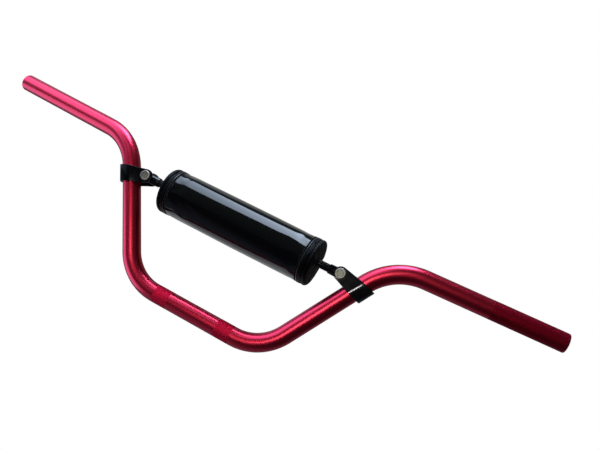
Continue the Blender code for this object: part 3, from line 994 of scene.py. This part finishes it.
def draw_washer(name):
    """A flat ring with slightly rounded edges."""
    bpy.ops.mesh.primitive_circle_add(vertices=LATHE_SIDES, radius=WASHER_RADIUS,
                                      fill_type="NGON", location=(0, WASHER_Y, 0),
                                      rotation=ALONG["Y"])
    washer = settle(name)
    begin_edit(washer)
    pick_all()
    bpy.ops.mesh.inset(thickness=WASHER_RADIUS - BOLT_HOLE_RADIUS)
    bpy.ops.mesh.delete(type="FACE")
    pick_all()
    push((0, WASHER_THICKNESS, 0))
    end_edit()
    outwards(washer)
    soften(washer, WASHER_EDGE_ROUND, 2, 50)
    smooth(washer, 30)
    return washer


def draw_nut(name):
    """A hexagon whose corners are turned off at both ends, with a hole for the bolt."""
    place = (0, NUT_Y + NUT_HEIGHT / 2, 0)
    nut = cylinder(name, NUT_CORNER_RADIUS, NUT_HEIGHT, place, sides=6)
    turning = cylinder("turning_tool", NUT_CORNER_RADIUS * 1.01, NUT_HEIGHT * 1.002, place)
    soften(turning, NUT_CHAMFER, 1, 60)
    trim(nut, turning, "INTERSECT")
    drill(nut, BOLT_HOLE_RADIUS, place)
    soften(nut, NUT_EDGE_ROUND, 2, 40)
    smooth(nut, 30)
    return nut


for part_name, draw in (("bolt", draw_bolt), ("washer", draw_washer), ("nut", draw_nut)):
    model = draw(part_name + "_left")
    other = twin(model, part_name + "_right", turned=False, move=(BOLT_X, 0, BOLT_Z))
    model.location = (-BOLT_X, 0, BOLT_Z)
    freeze(model)
    dress_pair(model, other, ZINC_PLATE, "zinc_steel", "clamp_" + part_name)

# %% [markdown]
# ## The crossbar and its eyes
# The rod is a plain bar with turned ends. Each eye is a barrel for the bolt with a neck for the
# rod: two round bodies joined into one, with the join softened as a weld or a forging would be.

# %% Crossbar sizes
ROD_RADIUS = 0.00475
EYE_RADIUS = 0.00635
NECK_END_RADIUS = 0.0057
NECK_LENGTH = 0.016
NECK_TAPER = 0.008
SOCKET_DEPTH = 0.0072
NECK_EDGE_ROUND = 0.0004


# %% Crossbar
def draw_rod(name):
    """The crossbar rod, with chamfered ends inside the sockets."""
    half = BOLT_X - NECK_LENGTH + SOCKET_DEPTH - FIT
    rod = cylinder(name, ROD_RADIUS, 2 * half, (0, 0, BOLT_Z), "X")
    bevel_where(rod, lambda edge: abs(abs(middle(edge).x) - half) < 1e-6, NECK_EDGE_ROUND, 2)
    smooth(rod, 40)
    return rod


def draw_eye(name):
    """The left eye: barrel and neck in one, bored for the bolt and for the rod."""
    eye = cylinder(name, EYE_RADIUS, EYE_WIDTH, (-BOLT_X, 0, BOLT_Z))
    neck_radius = EYE_RADIUS - NECK_EDGE_ROUND
    straight = NECK_LENGTH - NECK_TAPER
    neck = cylinder("neck", neck_radius, straight, (-BOLT_X + straight / 2, 0, BOLT_Z), "X")
    begin_edit(neck)
    largest_facing((1, 0, 0))
    push((NECK_TAPER, 0, 0))
    share = NECK_END_RADIUS / neck_radius
    bpy.ops.transform.resize(value=(1, share, share))
    end_edit()
    trim(eye, neck, "UNION")
    drill(eye, ROD_RADIUS + FIT, (-BOLT_X + NECK_LENGTH, 0, BOLT_Z), "X", 2 * SOCKET_DEPTH)
    drill(eye, BOLT_HOLE_RADIUS, (-BOLT_X, 0, BOLT_Z))
    soften(eye, NECK_EDGE_ROUND, 2, 35)
    smooth(eye, 35)
    return eye


rod = draw_rod("crossbar")
dress(rod, BLACK_COAT, "black_steel", "crossbar_rod")
eye_left = draw_eye("eye_left")
eye_right = twin(eye_left, "eye_right")
dress_pair(eye_left, eye_right, BLACK_COAT, "black_steel", "crossbar_eye")

# %% [markdown]
# ## The pad
# The pad is soft: a foam core, a glossy sleeve drawn tight round it and closed along the rear, and
# a woven cup over each end. The sleeve and the cups are drawn as cloth, and a short simulation
# presses them outwards between the stitches that hold them. Then they get their thickness.

# %% Pad sizes
SLEEVE_THICKNESS = 0.0013
SLEEVE_OPENING = math.radians(34)
SLEEVE_EDGE_ROUND = 0.0004
CLOSURE_GAP = math.radians(2)
FLAP_OVERLAP = math.radians(7)
FLAP_THICKNESS = 0.0012
FLAP_END = SLEEVE_END - 0.008
FLAP_CORNER = 0.004
FLAP_EDGE_ROUND = 0.0003
CAP_THICKNESS = 0.0014
CAP_BAND = 0.0052
CAP_GROOVE = 0.0014
CAP_FACE_ROUND = 0.0042
CAP_CROWN = 0.0009
HEM_RADIUS = 0.0008
HEM_GAP = 0.0009
HEM_HOLD = 0.0075
WELT_RADIUS = 0.0008
WELT_SUNK = 0.0003
FOAM_SLIT = 0.0012
FOAM_RADIUS = PAD_RADIUS - CAP_THICKNESS - FIT
SLEEVE_AROUND = 108
SLEEVE_ALONG = 72
CAP_AROUND = 96
BAND_STEPS = 6
ROUND_STEPS = 7
CROWN_STEPS = 9
POLE_SHARE = 0.001
POLE_MERGE = 0.00005
HEM_STEPS = (48, 10)
WELT_STEPS = (120, 12)
STRIP_STEPS = (16, 40)
TINY = 1e-5
print(f"pad {2 * PAD_HALF * 1000:.0f} mm long,",
      f"sleeve sheet {SLEEVE_AROUND} by {SLEEVE_ALONG} squares")


# %% Cloth
CLOTH_QUALITY = 5
CLOTH_FRAMES = 20


def curved_sheet(name, radius, start, stop, half_length, around, along):
    """A sheet curved round the pad: an arc is spun, then drawn out along the pad."""
    first = (-half_length, radius * math.cos(start), PAD_Z + radius * math.sin(start))
    sheet = lone_vertex(name, first)
    bpy.ops.mesh.spin(steps=around, angle=start - stop, center=(-half_length, 0, PAD_Z),
                      axis=(1, 0, 0))
    pick_all()
    for step in range(along):
        push((2 * half_length / along, 0, 0))
    end_edit()
    outwards(sheet)
    return sheet


def puff(made, held, pressure, limit, slack):
    """Let cloth with some slack bulge between the points that hold it, and cap how far."""
    before = [vert.co.copy() for vert in made.data.vertices]
    stitches = made.vertex_groups.new(name="stitches")
    stitches.add([vert.index for vert in made.data.vertices if held(vert)], 1.0, "REPLACE")
    cloth = made.modifiers.new("cloth", "CLOTH")
    cloth.settings.vertex_group_mass = "stitches"
    cloth.settings.quality = CLOTH_QUALITY
    cloth.settings.use_pressure = True
    cloth.settings.uniform_pressure_force = pressure
    cloth.settings.shrink_min = -slack
    cloth.settings.effector_weights.gravity = 0
    cloth.point_cache.frame_start = 1
    cloth.point_cache.frame_end = CLOTH_FRAMES
    for moment in range(1, CLOTH_FRAMES + 1):
        bpy.context.scene.frame_set(moment)
    take(made)
    bpy.ops.object.modifier_apply(modifier=cloth.name)
    bpy.context.scene.frame_set(1)
    furthest = 0.0
    for vert, old in zip(made.data.vertices, before):
        move = vert.co - old
        if move.length > limit:
            vert.co = old + move * (limit / move.length)
        furthest = max(furthest, (vert.co - old).length)
    made.vertex_groups.clear()
    print(f"{made.name}: bulged by up to {furthest * 1000:.2f} mm")


# %% Sleeve
def draw_sleeve(name):
    """The glossy sleeve, held at its sewn ends and along the closure."""
    middle_radius = PAD_RADIUS - SLEEVE_THICKNESS / 2
    half_opening = SLEEVE_OPENING / 2
    sleeve = curved_sheet(name, middle_radius, half_opening, math.tau - half_opening, SLEEVE_END,
                          SLEEVE_AROUND, SLEEVE_ALONG)
    edge_y = middle_radius * math.cos(half_opening) - TINY
    puff(sleeve, lambda vert: abs(vert.co.x) > SLEEVE_END - TINY or vert.co.y > edge_y,
         pressure=0.6, limit=0.00045, slack=0.0015)
    modify(sleeve, "SMOOTH", factor=0.5, iterations=6)
    thicken(sleeve, SLEEVE_THICKNESS, 0.0)
    soften(sleeve, SLEEVE_EDGE_ROUND, 3, 60)
    smooth(sleeve, 40)
    return sleeve


sleeve = draw_sleeve("sleeve")
dress(sleeve, GLOSSY_VINYL, "pad_vinyl", "pad_sleeve")


# %% End cups
def draw_cup(name):
    """The left cup: a band, the groove where it is sewn to the end, and the crowned end."""
    centre_x = PAD_HALF - CAP_FACE_ROUND
    centre_r = PAD_RADIUS - CAP_FACE_ROUND
    groove_x = CAP_START + CAP_BAND
    outline = [(CAP_START + CAP_BAND * step / BAND_STEPS, PAD_RADIUS)
               for step in range(BAND_STEPS)]
    outline += [(groove_x, PAD_RADIUS - CAP_GROOVE)]
    outline += [(groove_x + (centre_x - groove_x) * share, PAD_RADIUS) for share in (0.3, 0.65)]
    for step in range(ROUND_STEPS + 1):
        angle = math.radians(90 - 90 * step / ROUND_STEPS)
        outline.append((centre_x + CAP_FACE_ROUND * math.cos(angle),
                        centre_r + CAP_FACE_ROUND * math.sin(angle)))
    for step in range(1, CROWN_STEPS + 1):
        share = 1 - step / CROWN_STEPS
        outline.append((PAD_HALF + CAP_CROWN * (1 - share ** 2), centre_r * max(share, POLE_SHARE)))
    places = [Vector((-x, -radius, PAD_Z)) for x, radius in outline]
    cup = lone_vertex(name, places[0])
    for here, there in zip(places, places[1:]):
        draw_to(here, there)
    pick_all()
    bpy.ops.mesh.spin(steps=CAP_AROUND, angle=math.tau, center=(0, 0, PAD_Z), axis=(1, 0, 0))
    pick_all()
    bpy.ops.mesh.remove_doubles(threshold=POLE_MERGE)
    end_edit()
    outwards(cup)
    rod_axis = Vector((0, BOLT_Z))

    def held(vert):
        along = -vert.co.x
        near_rod = (Vector((vert.co.y, vert.co.z)) - rod_axis).length < HEM_HOLD
        return along < CAP_START + TINY or abs(along - groove_x) < TINY or near_rod

    puff(cup, held, pressure=1.5, limit=0.0016, slack=0.016)
    thicken(cup, CAP_THICKNESS, -1.0)
    drill(cup, ROD_RADIUS + FIT, (-PAD_HALF, 0, BOLT_Z), "X")
    hem = hoop("hem", ROD_RADIUS + FIT + HEM_GAP, HEM_RADIUS,
               (-PAD_HALF - HEM_RADIUS / 2, 0, BOLT_Z), *HEM_STEPS)
    take(hem, cup)
    bpy.ops.object.join()
    smooth(cup, 45)
    return cup


cup_left = draw_cup("cup_left")
cup_right = twin(cup_left, "cup_right", turned=False)
cup_right.scale = (-1, 1, 1)
freeze(cup_right)
outwards(cup_right)
smooth(cup_right, 45)
dress_pair(cup_left, cup_right, CAP_CLOTH, "pad_fabric", "pad_end_cap")


# %% Piping
def draw_welt(name, side):
    """The piping between sleeve and cup."""
    welt = hoop(name, PAD_RADIUS - WELT_SUNK, WELT_RADIUS,
                (side * (SLEEVE_END + FIT + WELT_RADIUS), 0, PAD_Z), *WELT_STEPS)
    smooth(welt, 60)
    return welt


dress_pair(draw_welt("welt_left", -1), draw_welt("welt_right", 1), PIPING_CORD, "pad_piping",
           "pad_welt")


# %% Foam
def draw_foam(name):
    """The foam core: bored for the rod and slit along the rear."""
    half = PAD_HALF - CAP_THICKNESS - FIT
    foam = cylinder(name, FOAM_RADIUS, 2 * half, (0, 0, PAD_Z), "X", CAP_AROUND)
    bevel_where(foam, lambda edge: abs(abs(middle(edge).x) - half) < 1e-6, CAP_FACE_ROUND, 4)
    drill(foam, ROD_RADIUS + FIT, (0, 0, BOLT_Z), "X", 3 * half)
    slit = block("slit_tool", (3 * half, 2 * FOAM_RADIUS, FOAM_SLIT), (0, FOAM_RADIUS, PAD_Z))
    trim(foam, slit, "DIFFERENCE")
    smooth(foam, 40)
    return foam


foam = draw_foam("foam_core")
dress(foam, SOFT_FOAM, "pad_foam", "pad_foam")


# %% Closure
def rounded_block(name, half_x, half_z):
    """A block along Y with rounded corners, to trim a strip's outline."""
    tool = block(name, (2 * half_x, PAD_RADIUS, 2 * half_z), (0, PAD_RADIUS, PAD_Z))
    bevel_where(tool, lambda edge: abs(edge.verts[0].co.y - edge.verts[1].co.y) > 0.5 * PAD_RADIUS,
                FLAP_CORNER, 6)
    return tool


def draw_strip(name, radius, half_angle, thickness):
    """One half of the hook-and-loop closure along the rear, with rounded corners."""
    strip = curved_sheet(name, radius + thickness / 2, -half_angle, half_angle, FLAP_END,
                         *STRIP_STEPS)
    thicken(strip, thickness, 0.0)
    half_z = (radius + thickness) * math.sin(half_angle)
    trim(strip, rounded_block("corner_tool", FLAP_END, half_z), "INTERSECT")
    soften(strip, FLAP_EDGE_ROUND, 2, 60)
    smooth(strip, 40)
    return strip


HALF_HOOK = SLEEVE_OPENING / 2 - CLOSURE_GAP
HALF_FLAP = SLEEVE_OPENING / 2 + FLAP_OVERLAP
hook_strip = draw_strip("hook_strip", PAD_RADIUS - SLEEVE_THICKNESS, HALF_HOOK,
                        SLEEVE_THICKNESS)
dress(hook_strip, LOOP_PILE, "pad_fabric", "closure_hook_strip")
loop_flap = draw_strip("loop_flap", PAD_RADIUS + FIT, HALF_FLAP, FLAP_THICKNESS)
dress(loop_flap, LOOP_PILE, "pad_fabric", "closure_loop_flap")

# %% [markdown]
# ## Stitches
# A seam is told by its stitches. One stitch is a short thread with round ends. It is repeated by
# an Array modifier: round the pad, with an empty that is turned by one step about the pad's axis,
# or in a straight row, with a constant step.

# %% Stitch sizes
STITCH_PITCH = 0.0028
STITCH_LENGTH = 0.0019
STITCH_RADIUS = 0.00028
STITCH_INSET = 0.0016
REACH_WINDOW = 0.0012


# %% Stitches
def lone_stitch(name, place, turned):
    """One stitch: a ball drawn out into a short thread."""
    bpy.ops.mesh.primitive_uv_sphere_add(segments=8, ring_count=5, radius=STITCH_RADIUS)
    stitch = settle(name)
    begin_edit(stitch)
    for side in (-1, 1):
        pick("VERT", lambda vert: vert.co.z * side > 0)
        bpy.ops.transform.translate(value=(0, 0, side * (STITCH_LENGTH / 2 - STITCH_RADIUS)))
    end_edit()
    stitch.rotation_euler = turned
    stitch.location = place
    freeze(stitch)
    return stitch


def reach_at(made, x):
    """How far the cloth reaches from the pad's axis near a place along it."""
    near = [vert.co for vert in made.data.vertices if abs(vert.co.x - x) < REACH_WINDOW]
    return max(math.hypot(spot.y, spot.z - PAD_Z) for spot in near)


def stitch_ring(name, cloth_piece, x):
    """A ring of stitches round the pad."""
    reach = reach_at(cloth_piece, x)
    ring = lone_stitch(name, (x, 0, PAD_Z + reach), ALONG["Y"])
    count = round(math.tau * reach / STITCH_PITCH)
    bpy.ops.object.empty_add(location=(0, 0, 0))
    guide = bpy.context.object
    axis = Matrix.Translation((0, 0, PAD_Z))
    guide.matrix_world = axis @ Matrix.Rotation(math.tau / count, 4, "X") @ axis.inverted()
    bpy.context.view_layer.update()
    modify(ring, "ARRAY", count=count, use_relative_offset=False, use_object_offset=True,
           offset_object=guide)
    bpy.data.objects.remove(guide)
    smooth(ring, 60)
    print(name, "has", count, "stitches")
    return ring


def stitch_row(name, angle, half_length, reach):
    """A straight row of stitches along the pad, at an angle from the rear."""
    count = int(2 * half_length / STITCH_PITCH)
    start = -(count - 1) * STITCH_PITCH / 2
    place = (start, reach * math.cos(angle), PAD_Z + reach * math.sin(angle))
    row = lone_stitch(name, place, ALONG["X"])
    modify(row, "ARRAY", count=count, use_relative_offset=False, use_constant_offset=True,
           constant_offset_displace=(STITCH_PITCH, 0, 0))
    smooth(row, 60)
    print(name, "has", count, "stitches")
    return row


for side_name, side in (("left", -1), ("right", 1)):
    ring = stitch_ring("sleeve_stitches_" + side_name, sleeve, side * (SLEEVE_END - STITCH_INSET))
    dress(ring, SEWING_THREAD, "pad_piping")
flap_reach = PAD_RADIUS + FIT + FLAP_THICKNESS
for side_name, side in (("lower", -1), ("upper", 1)):
    inset_angle = HALF_FLAP - STITCH_INSET / flap_reach
    row = stitch_row("flap_stitches_" + side_name, side * inset_angle,
                     FLAP_END - 2 * STITCH_INSET, flap_reach)
    dress(row, SEWING_THREAD, "pad_piping")

# %% [markdown]
# ## Which lamp lights which piece
# A studio keeps light off some pieces with small flags. Here each lamp has a list instead, of
# the pieces that it lights or leaves out. So each piece gets the stripes that the photo shows.

# %% Light linking
pad_pieces = [item for item in bpy.context.scene.objects
              if item.name.startswith(("sleeve", "cup", "welt", "hook", "loop", "flap"))]
receivers("top_box", pad_pieces + [rod, eye_left, eye_right], "EXCLUDE")
receivers("front_lamp", pad_pieces + [strap_right], "EXCLUDE")
receivers("pad_box", pad_pieces + [rod, eye_left])
receivers("strap_lamp", [strap_right])
for name in ("rear_box", "rear_low_box"):
    receivers(name, pad_pieces)
for name in ("left_high_box", "left_low_box", "front_high_lamp", "front_left_lamp", "top_rear_box"):
    receivers(name, [bar_tube])
print("pad pieces:", [item.name for item in pad_pieces])
left_plain = [node for node, made in frame["nodes"].items() if not made.hide_render]
print("solids still showing:", left_plain)

# %% [markdown]
# ## Finish the scene
# Colours are shown with Blender's Standard view, as they are set in the finishes.

# %% View
bpy.context.scene.view_settings.view_transform = "Standard"
